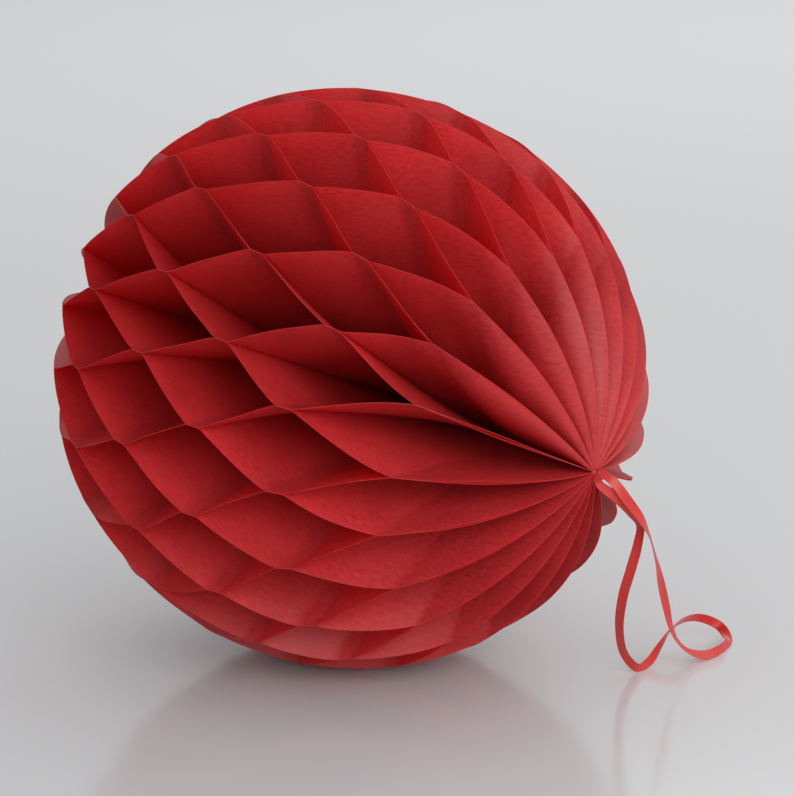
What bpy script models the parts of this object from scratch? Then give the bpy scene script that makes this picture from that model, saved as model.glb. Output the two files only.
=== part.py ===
"""Honeycomb paper ball: half-disc tissue leaves fanned round a doubled ribbon, glued to each other in
staggered rows, resting on its side with its hanging loop trailing on the table."""

import math

import bmesh
import bpy
from mathutils import Matrix, Vector

MM = 0.001

# The ball, in metres. Its spine runs along local X, which leans down towards the ribbon end.
BALL_RADIUS = 0.100
SPINE_HALF_LENGTH = 0.1048
SPINE_LEAN = math.radians(10)
FLAT_SPOT_DEPTH = 0.002
# Brings the middle of the ball's box, its knot included, over the origin.
BALL_CENTRE_X = 0.00305
BALL_CENTRE_Y = 0.0

# The leaves. Column angles run round the spine from straight up, towards the -Y side.
LEAF_COUNT = 42
SHEET_THICKNESS = 0.0002
SHEET_GAP = 0.0002
TIP_HEIGHT = 0.0015
FIRST_COLUMN_ANGLE = math.radians(65.8)
SAG_ANGLE = math.radians(5)

# The glued strips that hold neighbouring leaves together.
GLUE_ROWS = 6
GLUE_ROW_PITCH = 0.0308
GLUE_STRIP_WIDTH = 0.0055
PANEL_STEPS = 2
PANEL_CURL = 0.04
POLE_STEPS = 4

# Joints that the opened paper has pulled out of line.
# (row, column): (millimetres along the spine, degrees round it)
PULLED_JOINTS = {
    (1, -7): (4.0, 0.0),
    (1, -5): (1.5, 1.2),
    (1, -3): (1.0, 0.8),
    (1, -1): (-1.0, 0.0),
    (1, 1): (1.0, -1.1),
    (1, 3): (0.5, 1.4),
    (1, 5): (-2.0, 0.0),
    (2, -6): (-1.4, -0.8),
    (2, -4): (-1.5, 0.0),
    (2, -2): (-1.3, 0.0),
    (2, 0): (2.3, -1.0),
    (2, 2): (-3.0, 0.0),
    (2, 4): (-1.6, 0.0),
    (3, -7): (0.0, -1.6),
    (3, 1): (2.0, 0.5),
    (3, 7): (3.2, 0.5),
    (3, 9): (4.5, 0.0),
    (4, -2): (-4.0, 0.0),
    (4, 0): (0.5, 1.0),
    (4, 2): (2.0, -0.6),
    (4, 6): (4.0, 0.0),
    (5, -3): (-2.5, -0.6),
    (5, 1): (-2.0, 0.5),
}

# The ribbon: a doubled length held in the spine, a knot behind it and a loop in front of it.
RIBBON_WIDTH = 0.0032
RIBBON_CLEARANCE = 0.0003
CORE_RADIUS = 0.0020
CORE_SIDES = 12
LOOP_POINTS = 72
LOOP_SIDE_STEP = 0.0018
LOOP_SIDE_BEARING = math.radians(-37)
ROUTE_PARTS = 12

# The overhand knot. Its turns lie a little looser than strands that just clear each other.
KNOT_STRAND_RADIUS = 0.0009
KNOT_SLACK = 1.25
KNOT_TAIL_DROP = 0.005
KNOT_TAIL_REACH = 0.0023
KNOT_TAIL_SWEEP = 0.5
KNOT_OPENING = 0.17
KNOT_POINTS = 58

SMOOTH_ANGLE = math.radians(30)

# Where the loop runs from the pole down to the table, round its curl and back, in millimetres.
LOOP_ROUTE_MM = (
    (111.0, -2.6, 76.4),
    (113.8, 1.2, 72.0),
    (115.0, 6.3, 66.5),
    (114.6, 11.6, 60.6),
    (113.1, 15.0, 53.5),
    (109.9, 16.9, 44.3),
    (104.8, 19.8, 32.8),
    (100.3, 24.7, 20.8),
    (97.7, 31.3, 9.6),
    (98.2, 39.0, 2.2),
    (98.0, 47.2, 2.4),
    (97.2, 55.2, 6.2),
    (95.6, 64.3, 9.3),
    (93.9, 75.4, 10.0),
    (94.2, 85.6, 8.4),
    (98.6, 91.2, 5.0),
    (105.2, 86.6, 2.2),
    (109.0, 76.4, 2.1),
    (109.2, 66.2, 2.2),
    (107.4, 58.6, 4.8),
    (106.0, 53.2, 9.3),
    (106.2, 47.9, 16.1),
    (107.5, 42.6, 24.7),
    (109.7, 35.8, 34.6),
    (113.2, 26.6, 46.4),
    (116.4, 17.9, 56.4),
    (118.2, 11.0, 64.4),
    (117.4, 5.0, 72.4),
    (113.0, 1.2, 79.0),
)

PAPER_RED = (0.445, 0.018, 0.021)
RIBBON_RED = (0.650, 0.040, 0.030)


def clear_scene():
    for obj in list(bpy.data.objects):
        bpy.data.objects.remove(obj, do_unlink=True)


def new_collection(name):
    collection = bpy.data.collections.new(name)
    bpy.context.scene.collection.children.link(collection)
    return collection


def make_material(name, colour, roughness, metallic=0.0):
    material = bpy.data.materials.new(name)
    material.use_nodes = True
    shader = material.node_tree.nodes["Principled BSDF"]
    shader.inputs["Base Color"].default_value = (*colour, 1.0)
    shader.inputs["Roughness"].default_value = roughness
    shader.inputs["Metallic"].default_value = metallic
    material.diffuse_color = (*colour, 1.0)
    return material


def ball_centre():
    """The centre stands one support height over the table, less the depth pressed flat."""
    reach_down = math.hypot(
        SPINE_HALF_LENGTH * math.sin(SPINE_LEAN), BALL_RADIUS * math.cos(SPINE_LEAN)
    )
    return Vector((BALL_CENTRE_X, BALL_CENTRE_Y, reach_down - FLAT_SPOT_DEPTH))


def ball_matrix():
    """Local X runs along the spine, local Y up from it and local Z towards the -Y side."""
    lean = Matrix.Rotation(SPINE_LEAN, 4, "Y")
    stand_up = Matrix.Rotation(math.pi / 2, 4, "X")
    return Matrix.Translation(ball_centre()) @ lean @ stand_up


def column_step():
    return 2 * math.pi / LEAF_COUNT


def column_angle(column):
    """Even steps round the spine, less a sag that spreads the columns underneath."""
    turn = column_step() * column
    return FIRST_COLUMN_ANGLE + turn - SAG_ANGLE * math.cos(turn)


def leaf_offset():
    """From the middle of a glued pair to the middle of either sheet."""
    return (SHEET_THICKNESS + SHEET_GAP) / 2


def spine_hole_radius():
    """The sheets need this much room round the spine where the columns crowd most."""
    tightest_step = column_step() * (1 - SAG_ANGLE)
    return max(
        (SHEET_THICKNESS + SHEET_GAP) / tightest_step,
        CORE_RADIUS + RIBBON_CLEARANCE,
    )


def rim_radius(along):
    """The half-disc's outline: an ellipse, a little longer along the spine."""
    share = min(abs(along) / SPINE_HALF_LENGTH, 1.0)
    return BALL_RADIUS * math.sqrt(1 - share * share)


def tip_bearing():
    """Where the outline ends at a pole, as an angle from the equator."""
    return math.acos((spine_hole_radius() + TIP_HEIGHT) / BALL_RADIUS)


def row_place(row):
    """Rows are numbered from the ribbon end, evenly either side of the middle."""
    return ((GLUE_ROWS + 1) / 2 - row) * GLUE_ROW_PITCH


def joint_place(row, column):
    """The joint's place along the spine and its angle round it."""
    half = LEAF_COUNT // 2
    wrapped = (column + half) % LEAF_COUNT - half
    pull_mm, pull_turn = PULLED_JOINTS.get((row, wrapped), (0.0, 0.0))
    return row_place(row) + pull_mm * MM, column_angle(column) + math.radians(pull_turn)


def leaf_stations(leaf):
    """(place along the spine, angle, side) from one pole to the other. Side -1 is glued to the leaf
    before this one and side 1 to the leaf after it."""
    strips = []
    for row in range(GLUE_ROWS, 0, -1):
        side = -1 if (row + leaf) % 2 == 0 else 1
        along, angle = joint_place(row, leaf + (side + 1) // 2)
        strips.append((along, angle, side))

    stations = []
    for along, angle, side in strips:
        start = along - GLUE_STRIP_WIDTH / 2
        if stations:
            before, angle_before, side_before = stations[-1]
            for step in range(1, PANEL_STEPS + 1):
                share = step / (PANEL_STEPS + 1)
                eased = share - PANEL_CURL * math.sin(2 * math.pi * share)
                stations.append((
                    before + (start - before) * share,
                    angle_before + (angle - angle_before) * eased,
                    side_before + (side - side_before) * eased,
                ))
        stations.append((start, angle, side))
        stations.append((start + GLUE_STRIP_WIDTH, angle, side))

    return pole_stations(stations[0], -1)[::-1] + stations + pole_stations(stations[-1], 1)


def pole_stations(strip_end, towards):
    """Past the last glued strip a pair of leaves stays together as far as the pole."""
    along, angle, side = strip_end
    start = math.asin(min(abs(along) / SPINE_HALF_LENGTH, 1.0))
    places = []
    for step in range(1, POLE_STEPS + 1):
        bearing = start + (tip_bearing() - start) * step / POLE_STEPS
        places.append((towards * SPINE_HALF_LENGTH * math.sin(bearing), angle, side))
    return places


def leaf_point(station, share):
    """A point between the spine, share 0, and the rim, share 1."""
    along, angle, side = station
    inner = spine_hole_radius()
    distance = inner + (rim_radius(along) - inner) * share
    shift = -side * leaf_offset()
    return Vector((
        along,
        distance * math.cos(angle) - shift * math.sin(angle),
        distance * math.sin(angle) + shift * math.cos(angle),
    ))


def make_leaf(leaf, collection, material):
    """One half-disc: a strip of grid bent along its stations, then given its thickness."""
    stations = leaf_stations(leaf)
    last = len(stations) - 1
    shape = bmesh.new()
    bmesh.ops.create_grid(shape, x_segments=last, y_segments=1, size=0.5)
    for vertex in shape.verts:
        station = stations[round((vertex.co.x + 0.5) * last)]
        vertex.co = leaf_point(station, round(vertex.co.y + 0.5))
    mesh = bpy.data.meshes.new(f"leaf_{leaf + 1:02d}")
    shape.to_mesh(mesh)
    shape.free()
    mesh.materials.append(material)
    mesh.shade_smooth()
    mesh.set_sharp_from_angle(angle=SMOOTH_ANGLE)

    leaf_object = bpy.data.objects.new(mesh.name, mesh)
    collection.objects.link(leaf_object)
    sheet = leaf_object.modifiers.new("sheet", "SOLIDIFY")
    sheet.thickness = SHEET_THICKNESS
    sheet.offset = 0.0
    return leaf_object


def make_table_cutter(collection):
    """What the resting ball can't reach into: everything under the table top."""
    side = 4 * BALL_RADIUS
    depth = BALL_RADIUS
    bpy.ops.mesh.primitive_cube_add(size=1.0, location=(0, 0, -depth / 2))
    cutter = bpy.context.object
    cutter.name = "table_cutter"
    cutter.scale = (side, side, depth)
    for other in cutter.users_collection:
        other.objects.unlink(cutter)
    collection.objects.link(cutter)
    cutter.hide_render = True
    cutter.display_type = "WIRE"
    return cutter


def press_flat(leaf_object, matrix, cutter):
    """A leaf that would reach under the table has its rim flattened there."""
    lowest = min((matrix @ vertex.co).z for vertex in leaf_object.data.vertices)
    if lowest > SHEET_THICKNESS:
        return
    press = leaf_object.modifiers.new("flat_spot", "BOOLEAN")
    press.operation = "DIFFERENCE"
    press.solver = "EXACT"
    press.object = cutter


def make_leaves(collection, frame, cutter):
    paper = make_material("tissue_paper", PAPER_RED, 0.75)
    for leaf in range(LEAF_COUNT):
        leaf_object = make_leaf(leaf, collection, paper)
        leaf_object.parent = frame
        press_flat(leaf_object, ball_matrix(), cutter)


def smooth_route(route, count):
    """Points at even steps along a Catmull-Rom curve through the route's own points."""
    fine = []
    ends = [2 * route[0] - route[1]] + list(route) + [2 * route[-1] - route[-2]]
    for a, b, c, d in zip(ends, ends[1:], ends[2:], ends[3:]):
        for part in range(ROUTE_PARTS):
            t = part / ROUTE_PARTS
            fine.append(0.5 * (
                2 * b + (c - a) * t + (2 * a - 5 * b + 4 * c - d) * t**2
                + (3 * b - a - 3 * c + d) * t**3
            ))
    fine.append(route[-1])

    lengths = [0.0]
    for before, after in zip(fine, fine[1:]):
        lengths.append(lengths[-1] + (after - before).length)
    points = []
    place = 0
    for step in range(count):
        wanted = lengths[-1] * step / (count - 1)
        while place < len(fine) - 2 and lengths[place + 1] < wanted:
            place += 1
        share = (wanted - lengths[place]) / (lengths[place + 1] - lengths[place])
        points.append(fine[place].lerp(fine[place + 1], share))
    return points


def make_tube(name, points, radius, collection, material):
    curve = bpy.data.curves.new(name, "CURVE")
    curve.dimensions = "3D"
    curve.bevel_depth = radius
    curve.bevel_resolution = 2
    curve.use_fill_caps = True
    spline = curve.splines.new("POLY")
    spline.points.add(len(points) - 1)
    for place, point in zip(spline.points, points):
        place.co = (*point, 1.0)
    curve.materials.append(material)
    tube = bpy.data.objects.new(name, curve)
    collection.objects.link(tube)
    return tube


def make_ribbon_core(collection, frame, material):
    """The doubled ribbon inside the spine, from the knot to where the loop comes out."""
    core_length = 2 * SPINE_HALF_LENGTH
    shape = bmesh.new()
    bmesh.ops.create_cone(
        shape,
        cap_ends=True,
        segments=CORE_SIDES,
        radius1=CORE_RADIUS,
        radius2=CORE_RADIUS,
        depth=core_length,
        matrix=Matrix.Rotation(math.pi / 2, 4, "Y"),
    )
    mesh = bpy.data.meshes.new("ribbon_core")
    shape.to_mesh(mesh)
    shape.free()
    mesh.materials.append(material)
    mesh.shade_smooth()
    mesh.set_sharp_from_angle(angle=SMOOTH_ANGLE)
    core = bpy.data.objects.new("ribbon_core", mesh)
    collection.objects.link(core)
    core.parent = frame


def make_ribbon_knot(collection, frame, material):
    """An overhand knot drawn up flat behind the far pole: twice round a ring and three times round
    its section, with the two tails swept down and back where the ring is left open."""
    turn_radius = KNOT_SLACK * (KNOT_STRAND_RADIUS + RIBBON_CLEARANCE / 2)
    ring_radius = 2 * turn_radius
    back = -(SPINE_HALF_LENGTH + RIBBON_CLEARANCE + turn_radius + KNOT_STRAND_RADIUS)
    points = []
    for step in range(KNOT_POINTS):
        turn = KNOT_OPENING + 2 * (math.pi - KNOT_OPENING) * step / (KNOT_POINTS - 1)
        from_end = min(turn, 2 * math.pi - turn) - KNOT_OPENING
        swept = max(0.0, 1 - from_end / KNOT_TAIL_SWEEP) ** 2
        distance = ring_radius + turn_radius * math.cos(3 * turn) + KNOT_TAIL_DROP * swept
        points.append(Vector((
            back + turn_radius * math.sin(3 * turn) - KNOT_TAIL_REACH * swept,
            -distance * math.cos(2 * turn),
            distance * math.sin(2 * turn),
        )))
    knot = make_tube("ribbon_knot", points, KNOT_STRAND_RADIUS, collection, material)
    knot.parent = frame


def make_ribbon_loop(collection, material):
    """The free loop, from one side of the pole to the table and back to the other side."""
    matrix = ball_matrix()
    start = SPINE_HALF_LENGTH + RIBBON_CLEARANCE
    bearing = LOOP_SIDE_BEARING
    sideways = LOOP_SIDE_STEP * Vector((0, math.cos(bearing), math.sin(bearing)))
    leave = matrix @ (Vector((start, 0, 0)) - sideways)
    enter = matrix @ (Vector((start, 0, 0)) + sideways)
    route = [leave] + [Vector(point) * MM for point in LOOP_ROUTE_MM] + [enter]
    make_tube(
        "ribbon_loop", smooth_route(route, LOOP_POINTS), RIBBON_WIDTH / 2, collection, material
    )


def main():
    clear_scene()
    ball = new_collection("honeycomb_paper_ball")
    cutters = new_collection("cutters")

    frame = bpy.data.objects.new("ball_frame", None)
    ball.objects.link(frame)
    frame.matrix_world = ball_matrix()

    make_leaves(ball, frame, make_table_cutter(cutters))
    satin = make_material("satin_ribbon", RIBBON_RED, 0.35)
    make_ribbon_core(ball, frame, satin)
    make_ribbon_knot(ball, frame, satin)
    make_ribbon_loop(ball, satin)


main()
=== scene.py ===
import math

import bpy
import numpy as np
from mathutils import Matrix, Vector


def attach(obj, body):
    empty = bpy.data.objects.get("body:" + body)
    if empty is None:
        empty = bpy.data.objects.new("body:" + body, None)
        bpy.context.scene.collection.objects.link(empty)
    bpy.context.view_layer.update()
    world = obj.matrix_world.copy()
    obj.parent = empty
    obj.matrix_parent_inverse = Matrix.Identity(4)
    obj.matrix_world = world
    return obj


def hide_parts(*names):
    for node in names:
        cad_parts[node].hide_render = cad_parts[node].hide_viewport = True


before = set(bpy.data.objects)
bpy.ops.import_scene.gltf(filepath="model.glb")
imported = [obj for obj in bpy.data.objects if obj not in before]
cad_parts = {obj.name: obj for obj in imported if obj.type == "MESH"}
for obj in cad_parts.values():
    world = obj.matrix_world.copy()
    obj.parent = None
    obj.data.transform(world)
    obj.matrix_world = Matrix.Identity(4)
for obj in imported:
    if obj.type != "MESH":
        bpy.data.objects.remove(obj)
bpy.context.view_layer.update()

print("frame loaded:", len(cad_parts), "nodes")


# The photograph's viewpoint. The lens is for a 36 mm wide sensor.
viewpoint = {
    "place": (0.6247, -0.7568, 0.3009),
    "lookAt": (0.0166, 0.0089, 0.0913),
    "lens": 130.2,
    "sensor": 36.0,
    "clip": (0.01, 50.0),
}


def placeCamera(view):
    # Stands at place and looks at lookAt, upright.
    cameraData = bpy.data.cameras.new("photoCamera")
    cameraData.lens = view["lens"]
    cameraData.sensor_width = view["sensor"]
    cameraData.clip_start, cameraData.clip_end = view["clip"]
    camera = bpy.data.objects.new("photoCamera", cameraData)
    camera.location = view["place"]
    towards = Vector(view["lookAt"]) - Vector(view["place"])
    camera.rotation_euler = towards.to_track_quat("-Z", "Y").to_euler()
    bpy.context.scene.collection.objects.link(camera)
    bpy.context.scene.camera = camera


placeCamera(viewpoint)
bpy.context.scene.view_settings.view_transform = "Standard"
print("camera placed")


class Wire:
    # One socket in a material. Sums written with it add the Math nodes that work them out.
    def __init__(self, tree, socket=None):
        self.tree = tree
        self.socket = socket

    def node(self, kind, settings, values, output=0):
        # Adds any node: its settings first, then its sockets' values or links.
        made = self.tree.nodes.new(kind)
        for name, setting in settings.items():
            setattr(made, name, setting)
        for name, value in values.items():
            if isinstance(value, Wire):
                self.tree.links.new(value.socket, made.inputs[name])
            else:
                made.inputs[name].default_value = value
        return Wire(self.tree, made.outputs[output] if made.outputs else None)

    def maths(self, operation, first, second, clamped=False):
        # first operation second, kept between 0 and 1 where it is clamped.
        return self.node("ShaderNodeMath", {"operation": operation, "use_clamp": clamped},
                         {0: first, 1: second})

    def __add__(self, other):
        return self.maths("ADD", self, other)

    def __sub__(self, other):
        return self.maths("SUBTRACT", self, other)

    def __mul__(self, other):
        return self.maths("MULTIPLY", self, other)

    def __radd__(self, other):
        return self.maths("ADD", other, self)

    def __rsub__(self, other):
        return self.maths("SUBTRACT", other, self)

    def __rmul__(self, other):
        return self.maths("MULTIPLY", other, self)

    def mixColour(self, colourA, colourB):
        # This wire is the factor between two colours.
        return self.node("ShaderNodeMix", {"data_type": "RGBA"}, {0: self, 6: colourA, 7: colourB}, 2)


def newMaterial(name):
    # An empty tree, as a wire to build on.
    material = bpy.data.materials.new(name)
    material.use_nodes = True
    material.node_tree.nodes.clear()
    return material, Wire(material.node_tree)


def noiseOn(wire, place, scale, detail, stretch=(1.0, 1.0, 1.0)):
    # Noise read at place, which is first multiplied by the three stretch factors.
    moved = wire.node("ShaderNodeMapping", {}, {"Vector": place, "Scale": stretch})
    return wire.node("ShaderNodeTexNoise", {}, {"Vector": moved, "Scale": scale, "Detail": detail})


paper = {
    "deep": (0.440, 0.0240, 0.0270, 1.0),
    "light": (0.930, 0.0800, 0.0880, 1.0),
    # Painted highlight along the cut rim: a paler red mixed in near the edge, and the width of that band.
    "edge": (0.720, 0.0600, 0.0660, 1.0),
    "rimHighlightWidth": 0.0004,
    "through": (0.850, 0.0380, 0.0420, 1.0),
    "throughShare": 0.52,
    "fibre": (420.0, 1100.0, 1.0),
    "fibreDetail": 3.0,
    "fibreTone": 1.2,
    "cloud": 34.0,
    "cloudDetail": 6.0,
    "cloudTone": 1.0,
    "frayedRimHighlight": 0.5,
    "roughness": 0.43,
    "roughnessSpread": 0.12,
    "gloss": 0.65,
    "bump": 0.00009,
    "bumpStrength": 0.5,
}


def tissuePaper(look):
    # Fibres run along the spine: fine noise stretched that way sets tone, gloss and a faint relief,
    # and wide clouds vary the tone from place to place: tone = both noises times their shares, less
    # what puts its middle at a half. Near the cut edge a paler colour is painted on, a painted highlight
    # along the rim, broken up by the fibre noise where the fibres fray.
    # A share of the light comes through the sheet.
    material, wire = newMaterial("tissuePaper")
    onSheet = wire.node("ShaderNodeUVMap", {"uv_map": "sheetPlace"}, {})
    onObject = wire.node("ShaderNodeTexCoord", {}, {}, "Object")
    fibre = noiseOn(wire, onSheet, 1.0, look["fibreDetail"], look["fibre"])
    cloud = noiseOn(wire, onObject, look["cloud"], look["cloudDetail"])
    middle = (look["fibreTone"] + look["cloudTone"] - 1) / 2
    tone = look["fibreTone"] * fibre + look["cloudTone"] * cloud - middle
    rimDepth = wire.node("ShaderNodeAttribute", {"attribute_name": "rimDepth"}, {}, "Fac")
    nearEdge = 1.0 - rimDepth * (1 / look["rimHighlightWidth"])
    # Mask of the painted rim highlight: 1 at the cut edge, falling to 0 over the band's width, broken up by
    # the fibre noise.
    frayedRimHighlight = wire.maths("MULTIPLY", nearEdge, 1 - look["frayedRimHighlight"] + look["frayedRimHighlight"] * fibre, True)
    body = tone.mixColour(look["deep"], look["light"])
    relief = wire.node("ShaderNodeBump", {}, {
        "Strength": look["bumpStrength"], "Distance": look["bump"], "Height": fibre,
    })
    front = wire.node("ShaderNodeBsdfPrincipled", {}, {
        "Base Color": frayedRimHighlight.mixColour(body, look["edge"]),
        "Roughness": look["roughness"] + look["roughnessSpread"] * (fibre - 0.5),
        "Specular IOR Level": look["gloss"],
        "Normal": relief,
    })
    through = wire.node("ShaderNodeBsdfTranslucent", {}, {"Color": look["through"], "Normal": relief})
    both = wire.node("ShaderNodeMixShader", {}, {0: look["throughShare"], 1: front, 2: through})
    wire.node("ShaderNodeOutputMaterial", {}, {"Surface": both})
    return material


satin = {
    "deep": (0.36, 0.013, 0.010, 1.0),
    "light": (0.66, 0.034, 0.026, 1.0),
    "threads": (300.0, 9000.0, 1.0),
    "threadDetail": 2.0,
    "threadTone": 0.75,
    "roughness": 0.36,
    "roughnessSpread": 0.1,
    "anisotropy": 0.45,
    "bump": 0.00003,
    "bumpStrength": 0.4,
}


def satinRibbon(look):
    # Fine threads run along the ribbon: noise stretched that way sets tone, gloss and a faint relief.
    material, wire = newMaterial("satinRibbon")
    onRibbon = wire.node("ShaderNodeUVMap", {"uv_map": "ribbonPlace"}, {})
    threads = noiseOn(wire, onRibbon, 1.0, look["threadDetail"], look["threads"])
    tone = 1 - look["threadTone"] + look["threadTone"] * threads
    relief = wire.node("ShaderNodeBump", {}, {
        "Strength": look["bumpStrength"], "Distance": look["bump"], "Height": threads,
    })
    front = wire.node("ShaderNodeBsdfPrincipled", {}, {
        "Base Color": tone.mixColour(look["deep"], look["light"]),
        "Roughness": look["roughness"] + look["roughnessSpread"] * (threads - 0.5),
        "Anisotropic": look["anisotropy"],
        "Normal": relief,
    })
    wire.node("ShaderNodeOutputMaterial", {}, {"Surface": front})
    return material


paperMaterial = tissuePaper(paper)
satinMaterial = satinRibbon(satin)
print("materials made")


def gridFaces(rows, columns):
    # Corner numbers of the quads of a grid of rows by columns points, facing rows cross columns.
    corner = np.arange(rows * columns).reshape(rows, columns)
    a, b = corner[:-1, :-1], corner[:-1, 1:]
    c, d = corner[1:, 1:], corner[1:, :-1]
    return np.stack([a, d, c, b], axis=-1).reshape(-1, 4)


def meshPiece(name, points, faces, material, uvName, uvPoints):
    # One object at the origin, from whole arrays: points, faces, and a UV place for each point.
    mesh = bpy.data.meshes.new(name)
    mesh.from_pydata(points.reshape(-1, 3), [], faces)
    mesh.update()
    loopPoints = np.empty(len(mesh.loops), dtype=np.int32)
    mesh.loops.foreach_get("vertex_index", loopPoints)
    layer = mesh.uv_layers.new(name=uvName)
    layer.data.foreach_set("uv", uvPoints.reshape(-1, 2)[loopPoints].astype(np.float32).ravel())
    mesh.shade_smooth()
    mesh.materials.append(material)
    piece = bpy.data.objects.new(name, mesh)
    bpy.context.scene.collection.objects.link(piece)
    return piece


# The ball's own frame, as in the CAD: X along the spine, Y up from it, Z towards the front.
ball = {
    "radius": 0.100,
    "halfSpine": 0.1048,
    "lean": math.radians(10),
    "centre": (0.00305, 0.0, 0.0981),
}


def ballPlaces(local, shape):
    # Turns the ball's own places into the row's: stood up about X, then leant about Y, then moved.
    # X = x cos lean + y sin lean, Y = -z and Z = y cos lean - x sin lean, each plus the centre's.
    cosLean, sinLean = math.cos(shape["lean"]), math.sin(shape["lean"])
    x, y, z = local[..., 0], local[..., 1], local[..., 2]
    turned = np.stack([x * cosLean + y * sinLean, -z, y * cosLean - x * sinLean], axis=-1)
    return turned + np.array(shape["centre"])


leaves = {
    "count": 42,
    "firstColumn": math.radians(65.8),
    "sag": math.radians(5),
    "rows": 6,
    "rowPitch": 0.0308,
    "stripWidth": 0.0055,
    "thickness": 0.0001,
    "pairGap": 0.00003,
    "innerRadius": 0.00105,
    "tipHeight": 0.0006,
    "curl": 0.004,
    "curlSpread": 0.012,
    "bulge": math.radians(0.35),
    "bulgeReach": 1.15,
    "bulgeWave": 0.75,
    "petalOpening": 0.0005,
    "petalLeast": 0.4,
    "petalStep": 2.4,
    "tuck": math.radians(15),
    "tuckDepth": 0.4,
    "tuckStart": 0.018,
    "tuckRise": 0.6,
    "tuckPairs": (-3, -1, 1, 5, 9, 21),
    "tuckShares": (0.0, 0.1, 0.85, 1.0, 1.0, 0.0),
    "softening": 0.0011,
    "stations": 220,
    "fineStations": 2400,
    "radial": 16,
    "rimCrowding": 1.5,
    "tableLift": 0.00008,
    "seed": 11,
}

# Joints pulled out of line by the opened paper: (row, column): (mm along the spine, degrees).
pulledJoints = {
    (1, -7): (4.0, 0.0), (1, -5): (1.5, 1.2), (1, -3): (1.0, 0.8), (1, -1): (-1.0, 0.0),
    (1, 1): (1.0, -1.1), (1, 3): (0.5, 1.4), (1, 5): (-2.0, 0.0),
    (2, -6): (-1.4, -0.8), (2, -4): (-1.5, 0.0), (2, -2): (-1.3, 0.0), (2, 0): (2.3, -1.0),
    (2, 2): (-3.0, 0.0), (2, 4): (-1.6, 0.0),
    (3, -7): (0.0, -1.6), (3, 1): (2.0, 0.5), (3, 7): (3.2, 0.5), (3, 9): (4.5, 0.0),
    (4, -2): (-4.0, 0.0), (4, 0): (0.5, 1.0), (4, 2): (2.0, -0.6), (4, 6): (4.0, 0.0),
    (5, -3): (-2.5, -0.6), (5, 1): (-2.0, 0.5),
}


def jointPlace(row, column, leafSet):
    # A joint's place along the spine and its angle round it: along = (middle row - row) * pitch, and
    # angle = first column + turn - sag * cos(turn), each with the joint's own pull.
    half = leafSet["count"] // 2
    pullAlong, pullTurn = pulledJoints.get((row, (column + half) % leafSet["count"] - half), (0.0, 0.0))
    turn = 2 * math.pi * column / leafSet["count"]
    along = ((leafSet["rows"] + 1) / 2 - row) * leafSet["rowPitch"] + pullAlong / 1000
    angle = leafSet["firstColumn"] + turn - leafSet["sag"] * math.cos(turn)
    return along, angle + math.radians(pullTurn)


def movingAverage(values, width):
    # Each value becomes the mean of the width values round it; the end values go on past the ends.
    padded = np.pad(values, width // 2, mode="edge")
    return np.convolve(padded, np.ones(width) / width, mode="valid")


def leafLine(leaf, leafSet, shape, random):
    # What a leaf does along the spine, at fine steps: its angle, its glued side, its bulge, how far
    # its petals open and its tuck. Between two strips the angle runs as share - curl * sin(2 pi share)
    # and the bulge as sin(pi share)^2, and a short moving average then softens both, as paper bends
    # and doesn't crease at a strip's end. A petal opens as sin(pi share)^2 from its strip to the pole.
    # The tuck rises as 3 share^2 - 2 share^3 from a little before the last strip's end.
    reach = shape["halfSpine"]
    fine = np.linspace(-reach, reach, leafSet["fineStations"])
    half = leafSet["stripWidth"] / 2
    angle = np.empty_like(fine)
    side = np.empty_like(fine)
    bulge = np.zeros_like(fine)
    last = None
    for row in range(leafSet["rows"], 0, -1):
        strip = -1 if (row + leaf) % 2 == 0 else 1
        along, turn = jointPlace(row, leaf + (strip + 1) // 2, leafSet)
        start, end = along - half, along + half
        if last is None:
            angle[fine < start], side[fine < start] = turn, strip
            firstStart = start
        else:
            lastEnd, lastTurn, lastStrip = last
            between = (fine >= lastEnd) & (fine < start)
            share = (fine[between] - lastEnd) / (start - lastEnd)
            curl = leafSet["curl"] + leafSet["curlSpread"] * random.uniform(-1, 1)
            eased = share - curl * np.sin(2 * np.pi * share)
            angle[between] = lastTurn + (turn - lastTurn) * eased
            side[between] = lastStrip + (strip - lastStrip) * eased
            bulge[between] = random.uniform(-1, 1) * np.sin(np.pi * share) ** 2
        angle[fine >= start], side[fine >= start] = turn, strip
        last = (end, turn, strip)
    width = max(3, int(leafSet["softening"] / (fine[1] - fine[0])) | 1)
    angle, side, bulge = [movingAverage(line, width) for line in (angle, side, bulge)]
    stripsEnd = last[0]
    opening = np.zeros_like(fine)
    for low, high in ((-reach, firstStart), (stripsEnd, reach)):
        petal = (fine > low) & (fine < high)
        opening[petal] = np.sin(np.pi * (fine[petal] - low) / (high - low)) ** 2
    tuckFrom = stripsEnd - leafSet["tuckStart"]
    rise = np.clip((fine - tuckFrom) / (leafSet["tuckRise"] * (reach - tuckFrom)), 0, 1)
    tuck = leafSet["tuck"] * tuckShare(leaf, leafSet) * rise**2 * (3 - 2 * rise)
    return fine, angle, side, bulge, opening, tuck


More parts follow.
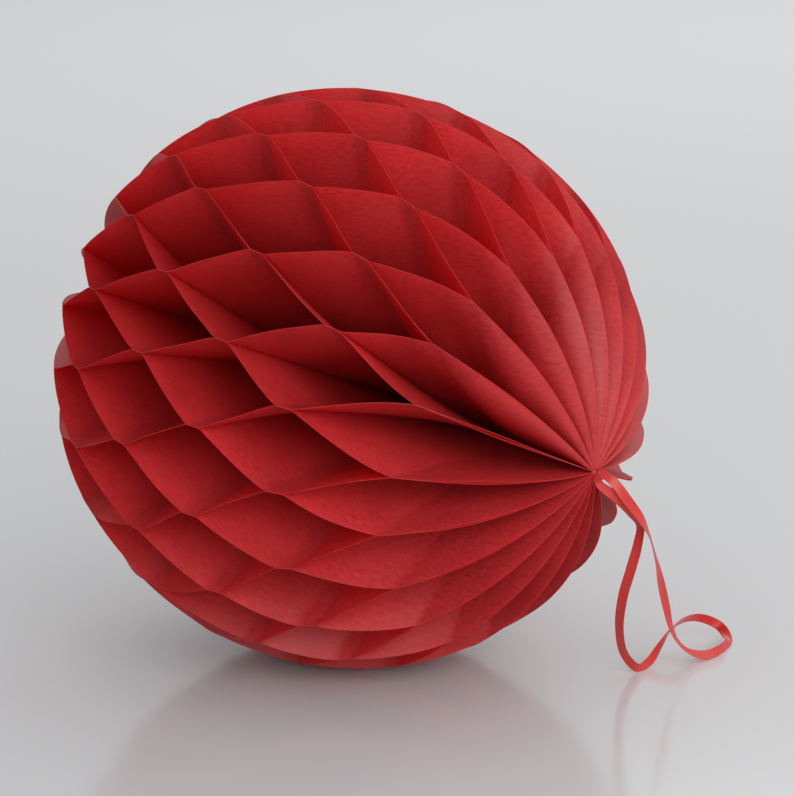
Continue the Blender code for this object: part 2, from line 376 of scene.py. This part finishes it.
def leafSurface(leaf, leafSet, shape, random):
    # A half disc of two parameters: the bearing from pole to pole gives the place along the spine,
    # and the share runs from the spine to the rim, its steps closer near the rim. A point turns round
    # the spine by the leaf's angle and steps sideways off its glued partner. The bulge turns the
    # sheet's middle by sin(wave * pi * share), and the tuck turns it by 1 - exp(-(1 - share) / depth),
    # which is 0 at the rim. What would come below the table is lifted to it.
    fine, angle, side, bulge, opening, tuck = leafLine(leaf, leafSet, shape, random)
    tip = math.acos((leafSet["innerRadius"] + leafSet["tipHeight"]) / shape["radius"])
    bearing = np.linspace(-tip, tip, leafSet["stations"])
    along = shape["halfSpine"] * np.sin(bearing)
    rim = shape["radius"] * np.cos(bearing)
    pull = [np.interp(along, fine, line)[:, None] for line in (angle, side, bulge, opening, tuck)]
    turn, glued, bulged, opened, tucked = pull

    fromRim = (1 - np.linspace(0, 1, leafSet["radial"])[None, :]) ** leafSet["rimCrowding"]
    share = 1 - fromRim
    distance = leafSet["innerRadius"] + (rim[:, None] - leafSet["innerRadius"]) * share
    bulgeShare = np.clip(1 - leafSet["bulgeReach"] * fromRim, 0, 1)
    turn = turn + leafSet["bulge"] * bulged * np.sin(leafSet["bulgeWave"] * np.pi * bulgeShare)
    turn = turn + tucked * (1 - np.exp(-fromRim / leafSet["tuckDepth"]))
    step = (leafSet["thickness"] + leafSet["pairGap"]) / 2
    petal = leafSet["petalOpening"] * petalWidth(leaf, leafSet) * opened * share
    apart = -glued * (step + petal)
    along = np.broadcast_to(along[:, None], distance.shape)
    local = np.stack([
        along,
        distance * np.cos(turn) - apart * np.sin(turn),
        distance * np.sin(turn) + apart * np.cos(turn),
    ], axis=-1)
    placed = ballPlaces(local, shape)
    placed[..., 2] = np.maximum(placed[..., 2], leafSet["tableLift"])
    return placed, np.stack([along, distance], axis=-1), rim[:, None] - distance


def tuckShare(leaf, leafSet):
    # Towards the near pole each glued pair tucks its inner part behind the rim of the pair below
    # it, so that their rims lie close as a shut fan. The share grows pair by pair from the front up
    # over the top, by straight lines between the given pairs, and fades round the hidden side.
    half = leafSet["count"] // 2
    pair = 2 * (leaf // 2) + 1
    upward = -((pair + half) % leafSet["count"] - half)
    return float(np.interp(upward, leafSet["tuckPairs"], leafSet["tuckShares"]))


def petalWidth(leaf, leafSet):
    # How far a glued pair opens past its last strip, from the least share to 1, the same for both
    # of its leaves: least + (1 - least) * (1 + sin(step * pair)) / 2.
    wave = 0.5 + 0.5 * math.sin(leafSet["petalStep"] * ((leaf + 1) // 2))
    return leafSet["petalLeast"] + (1 - leafSet["petalLeast"]) * wave


def markRim(mesh, rows, columns):
    # The sheet's cut edges stay sharp, so that its thickness doesn't shade as a round bead.
    ends = np.empty(len(mesh.edges) * 2, dtype=np.int32)
    mesh.edges.foreach_get("vertices", ends)
    row, column = np.divmod(ends.reshape(-1, 2), columns)
    onEnd = ((row == 0).all(1)) | ((row == rows - 1).all(1))
    onSide = ((column == 0).all(1)) | ((column == columns - 1).all(1))
    sharp = mesh.attributes.new("sharp_edge", "BOOLEAN", "EDGE")
    sharp.data.foreach_set("value", onEnd | onSide)


def makeLeaves(leafSet, shape, material):
    # One object a leaf. Its sheet is thickened by half of its thickness to each side.
    random = np.random.default_rng(leafSet["seed"])
    faces = gridFaces(leafSet["stations"], leafSet["radial"])
    for leaf in range(leafSet["count"]):
        name = f"leaf_{leaf + 1:02d}"
        points, places, rimDepth = leafSurface(leaf, leafSet, shape, random)
        piece = meshPiece("paper_" + name, points, faces, material, "sheetPlace", places)
        depth = piece.data.attributes.new("rimDepth", "FLOAT", "POINT")
        depth.data.foreach_set("value", rimDepth.astype(np.float32).ravel())
        markRim(piece.data, leafSet["stations"], leafSet["radial"])
        sheet = piece.modifiers.new("sheet", "SOLIDIFY")
        sheet.thickness = leafSet["thickness"]
        sheet.offset = 0.0
        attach(piece, "root")
        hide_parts(name)


makeLeaves(leaves, ball, paperMaterial)
print("leaves folded")


# The loop's route in millimetres: the CAD's, its two strands drawn together by the spine's end.
loopRoute = (
    (109.6, -1.3, 76.2), (113.1, 2.6, 72.0), (115.3, 7.9, 66.6), (115.2, 13.7, 60.5),
    (113.1, 15.8, 53.4), (109.9, 16.9, 44.3), (104.8, 19.8, 32.8), (100.3, 24.7, 20.8),
    (97.7, 31.3, 9.6), (98.2, 39.0, 2.2), (98.0, 47.2, 2.4), (97.2, 55.2, 6.2),
    (95.6, 64.3, 9.3), (93.9, 75.4, 10.0), (94.2, 85.6, 8.4), (98.6, 91.2, 5.0),
    (105.2, 86.6, 2.2), (109.0, 76.4, 2.1), (109.2, 66.2, 2.2), (107.4, 58.6, 4.8),
    (106.0, 53.2, 9.3), (106.2, 47.9, 16.1), (107.5, 42.6, 24.7), (109.7, 35.8, 34.6),
    (113.2, 26.6, 46.4), (116.4, 17.9, 56.4), (117.8, 10.4, 64.0), (116.4, 4.2, 71.3),
    (112.8, 1.0, 77.7),
)

# How far the ribbon is rolled out of the photograph's view at each route point, in degrees:
# 0 shows its full width and 90 its edge. The first and last values are at the spine's end.
loopRoll = (
    20, 10, 0, 15, 45, 30, 10, 18, 36, 38, 25,
    20, 45, 68, 50, 25, 0, -10, -15, 20, 60, 70,
    55, 35, 35, 72, 74, 35, 8, 5, 10,
)

ribbon = {
    "width": 0.0034,
    "gather": 0.6,
    "gatherReach": 0.003,
    "thickness": 0.00028,
    "cup": 0.00016,
    "tableLift": 0.0001,
    "sideStep": 0.0011,
    "sideBearing": math.radians(-37),
    "clearance": 0.0003,
    "steps": 420,
    "fineSteps": 24,
    "facing": (0.608, -0.766, 0.210),
}


def smoothRoute(points, count, fineSteps):
    # A Catmull-Rom curve through the points, then places at even steps along its length.
    ends = np.vstack([2 * points[0] - points[1], points, 2 * points[-1] - points[-2]])
    a, b, c, d = ends[:-3, None], ends[1:-2, None], ends[2:-1, None], ends[3:, None]
    t = (np.arange(fineSteps) / fineSteps)[None, :, None]
    curve = 0.5 * (2 * b + (c - a) * t + (2 * a - 5 * b + 4 * c - d) * t**2
                   + (3 * b - a - 3 * c + d) * t**3)
    curve = np.vstack([curve.reshape(-1, points.shape[1]), points[-1:]])
    length = np.r_[0, np.cumsum(np.linalg.norm(np.diff(curve[:, :3], axis=0), axis=1))]
    places = np.linspace(0, length[-1], count)
    return np.stack([np.interp(places, length, axis) for axis in curve.T], axis=1), places


def unit(vectors):
    # Each vector divided by its length.
    return vectors / np.linalg.norm(vectors, axis=-1, keepdims=True)


def flatProfile(width, thickness, cup):
    # A ribbon's section as (across, out) pairs: a thin flat oval, whose cosine and sine are raised to
    # powers under 1 that square its ends. Its middle is lifted by cup * (1 - (2 across / width)^2).
    sides, acrossPower, outPower = 16, 0.6, 0.5
    turn = np.linspace(0, 2 * np.pi, sides, endpoint=False)
    across = np.sign(np.cos(turn)) * np.abs(np.cos(turn)) ** acrossPower * width / 2
    out = np.sign(np.sin(turn)) * np.abs(np.sin(turn)) ** outPower * thickness / 2
    return np.stack([across, out + cup * (1 - (2 * across / width) ** 2)], axis=1)


def sweptStrip(name, path, places, across, profile, lowest, material):
    # Carries the profile along the path: its first number runs across, its second along
    # tangent x across. No point comes below lowest. Both ends are closed by a fan to their middle.
    tangent = unit(np.gradient(path, axis=0))
    across = unit(across - (across * tangent).sum(1, keepdims=True) * tangent)
    out = np.cross(tangent, across)
    rings = (path[:, None] + profile[..., 0, None] * across[:, None]
             + profile[..., 1, None] * out[:, None])
    rings[..., 2] = np.maximum(rings[..., 2], lowest)
    count, sides = rings.shape[:2]
    ends = np.stack([rings[0].mean(0), rings[-1].mean(0)])
    points = np.vstack([rings.reshape(-1, 3), ends])
    ring = np.arange(sides)
    following = np.roll(ring, -1)
    rows = (np.arange(count - 1) * sides)[:, None]
    sideFaces = np.stack([rows + ring, rows + following, rows + sides + following, rows + sides + ring],
                         axis=-1).reshape(-1, 4)
    lastRow = (count - 1) * sides
    first = np.stack([np.full(sides, count * sides), following, ring], axis=-1)
    last = np.stack([np.full(sides, count * sides + 1), lastRow + ring, lastRow + following], axis=-1)
    faces = sideFaces.tolist() + first.tolist() + last.tolist()
    v = np.broadcast_to(profile[..., 0], (count, sides))
    u = np.broadcast_to(places[:, None], (count, sides))
    uv = np.vstack([np.stack([u, v], axis=-1).reshape(-1, 2), [[places[0], 0], [places[-1], 0]]])
    return meshPiece(name, points, faces, material, "ribbonPlace", uv)


def makeLoop(shape, look, material):
    # The free stretch, out of the spine's end and back. Its width is narrowed near both ends, by the
    # factor 1 - gather * exp(-distance from the end / gather's reach).
    start = shape["halfSpine"] + look["clearance"]
    bearing = look["sideBearing"]
    aside = look["sideStep"] * np.array([0, math.cos(bearing), math.sin(bearing)])
    leave = ballPlaces(np.array([start, 0, 0]) - aside, shape)
    enter = ballPlaces(np.array([start, 0, 0]) + aside, shape)
    route = np.vstack([leave, np.array(loopRoute) / 1000, enter])
    route = np.column_stack([route, np.radians(loopRoll)])
    line, places = smoothRoute(route, look["steps"], look["fineSteps"])
    path, roll = line[:, :3], line[:, 3:]
    tangent = unit(np.gradient(path, axis=0))
    full = unit(np.cross(tangent, np.array(look["facing"])))
    across = np.cos(roll) * full + np.sin(roll) * np.cross(tangent, full)
    fromEnd = np.minimum(places, places[-1] - places)
    gathered = 1 - look["gather"] * np.exp(-fromEnd / look["gatherReach"])
    profile = flatProfile(look["width"], look["thickness"], look["cup"])
    profile = profile[None] * np.column_stack([gathered, np.ones_like(gathered)])[:, None]
    loop = sweptStrip("ribbon_loop_satin", path, places, across, profile, look["tableLift"], material)
    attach(loop, "root")
    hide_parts("ribbon_loop")
    print("ribbon loop, metres long:", round(float(places[-1]), 4))


makeLoop(ball, ribbon, satinMaterial)


core = {"radius": 0.00085, "flat": 0.75, "turns": 9, "steps": 240}
knot = {
    "strandRadius": 0.0009, "slack": 1.25, "drop": 0.005, "reach": 0.0023,
    "sweep": 0.5, "opening": 0.17, "steps": 260,
    "roundWidth": 0.00171, "roundThickness": 0.00135,
    "tailWidth": 0.0026, "tailThickness": 0.0004,
}


def makeCore(shape, look, ribbonLook, material):
    # The doubled ribbon in the spine: an oval section that turns as it runs from pole to pole, by
    # turns * pi * along / half the spine.
    along = np.linspace(-shape["halfSpine"], shape["halfSpine"], look["steps"])
    path = ballPlaces(np.stack([along, 0 * along, 0 * along], axis=1), shape)
    turn = (look["turns"] * np.pi * (along / shape["halfSpine"]))[:, None]
    upward = ballPlaces(np.array([0, 1.0, 0]), shape) - np.array(shape["centre"])
    forward = ballPlaces(np.array([0, 0, 1.0]), shape) - np.array(shape["centre"])
    across = np.cos(turn) * upward + np.sin(turn) * forward
    profile = flatProfile(2 * look["radius"], 2 * look["radius"] * look["flat"], 0.0)
    piece = sweptStrip("ribbon_core_satin", path, along, across, profile, ribbonLook["tableLift"], material)
    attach(piece, "root")
    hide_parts("ribbon_core")


def makeKnot(shape, look, ribbonLook, material):
    # The CAD's overhand knot: twice round a ring and three times round its section, at
    # (2 + cos(3 turn)) turn radii from the ring's middle, with the tails swept down and back by
    # (1 - distance from the end / sweep)^2. The folded strand opens out flat at its tails.
    turnRadius = look["slack"] * (look["strandRadius"] + ribbonLook["clearance"] / 2)
    back = -(shape["halfSpine"] + ribbonLook["clearance"] + turnRadius + look["strandRadius"])
    turn = np.linspace(look["opening"], 2 * np.pi - look["opening"], look["steps"])
    fromEnd = np.minimum(turn, 2 * np.pi - turn) - look["opening"]
    swept = np.clip(1 - fromEnd / look["sweep"], 0, 1) ** 2
    distance = (2 + np.cos(3 * turn)) * turnRadius + look["drop"] * swept
    local = np.stack([
        back + turnRadius * np.sin(3 * turn) - look["reach"] * swept,
        -distance * np.cos(2 * turn),
        distance * np.sin(2 * turn),
    ], axis=1)
    path = ballPlaces(local, shape)
    places = np.r_[0, np.cumsum(np.linalg.norm(np.diff(path, axis=0), axis=1))]
    tangent = unit(np.gradient(path, axis=0))
    middle = ballPlaces(np.array([back, 0, 0]), shape)
    outward = unit(path - middle)
    across = np.cross(tangent, outward)
    flat = swept[:, None]
    rounded = flatProfile(look["roundWidth"], look["roundThickness"], 0.0)
    tail = flatProfile(look["tailWidth"], look["tailThickness"], 0.0)
    profile = rounded[None] * (1 - flat[..., None]) + tail[None] * flat[..., None]
    piece = sweptStrip("ribbon_knot_satin", path, places, across, profile, ribbonLook["tableLift"], material)
    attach(piece, "root")
    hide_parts("ribbon_knot")


makeCore(ball, core, ribbon, satinMaterial)
makeKnot(ball, knot, ribbon, satinMaterial)
print("ribbon threaded and knotted")


table = {
    "reach": 3.0,
    "tone": (0.64, 0.645, 0.65, 1.0),
    "roughness": 0.15,
}


def makeTable(look):
    # A level pale square of twice the reach, glossy enough to mirror the ball faintly.
    reach = look["reach"]
    points = np.array([[-reach, -reach, 0], [reach, -reach, 0], [reach, reach, 0], [-reach, reach, 0]])
    material, wire = newMaterial("paleTable")
    top = wire.node("ShaderNodeBsdfPrincipled", {}, {
        "Base Color": look["tone"], "Roughness": look["roughness"],
    })
    wire.node("ShaderNodeOutputMaterial", {}, {"Surface": top})
    floor = meshPiece("paleTable", points, [[0, 1, 2, 3]], material, "tablePlace", points[:, :2])


makeTable(table)


# Lamps stand round the ball: turn is measured from the camera's side, towards its right.
lighting = {
    "sky": (0.97, 0.98, 1.0, 1.0),
    "skyStrength": 0.60,
    "aim": (0.0, 0.0, 0.10),
    "cameraTurn": math.radians(-50.6),
    "distance": 1.7,
    "height": math.radians(19),
    "size": 1.3,
    "power": {-20: 2.5, 20: 13.5, 60: 5.0, 100: 3.0},
    "backPlace": (-0.9, 2.6, 1.7),
    "backSize": 3.0,
    "backPower": 36.0,
}


def addLamp(name, place, towards, size, power):
    # A soft disc that looks along towards, and that no camera sees.
    lampData = bpy.data.lights.new(name, "AREA")
    lampData.shape = "DISK"
    lampData.size = size
    lampData.energy = power
    lamp = bpy.data.objects.new(name, lampData)
    lamp.location = place
    lamp.rotation_euler = Vector(towards).to_track_quat("-Z", "Y").to_euler()
    lamp.visible_camera = False
    bpy.context.scene.collection.objects.link(lamp)


def lightStudio(look):
    # A wide soft window: discs on an arc from just left of the camera round to the right, each at
    # aim + distance * (cos height cos turn, cos height sin turn, sin height). One more disc, overhead
    # behind the ball, keeps the far floor pale.
    world = bpy.data.worlds.new("studio")
    world.use_nodes = True
    background = world.node_tree.nodes["Background"]
    background.inputs["Color"].default_value = look["sky"]
    background.inputs["Strength"].default_value = look["skyStrength"]
    bpy.context.scene.world = world
    for degrees, power in look["power"].items():
        turn = look["cameraTurn"] + math.radians(degrees)
        level = math.cos(look["height"])
        away = Vector((level * math.cos(turn), level * math.sin(turn), math.sin(look["height"])))
        place = Vector(look["aim"]) + look["distance"] * away
        addLamp(f"window_{degrees}", place, -away, look["size"], power)
    addLamp("backLamp", look["backPlace"], (0, 0, -1), look["backSize"], look["backPower"])


lightStudio(lighting)
print("studio lit")
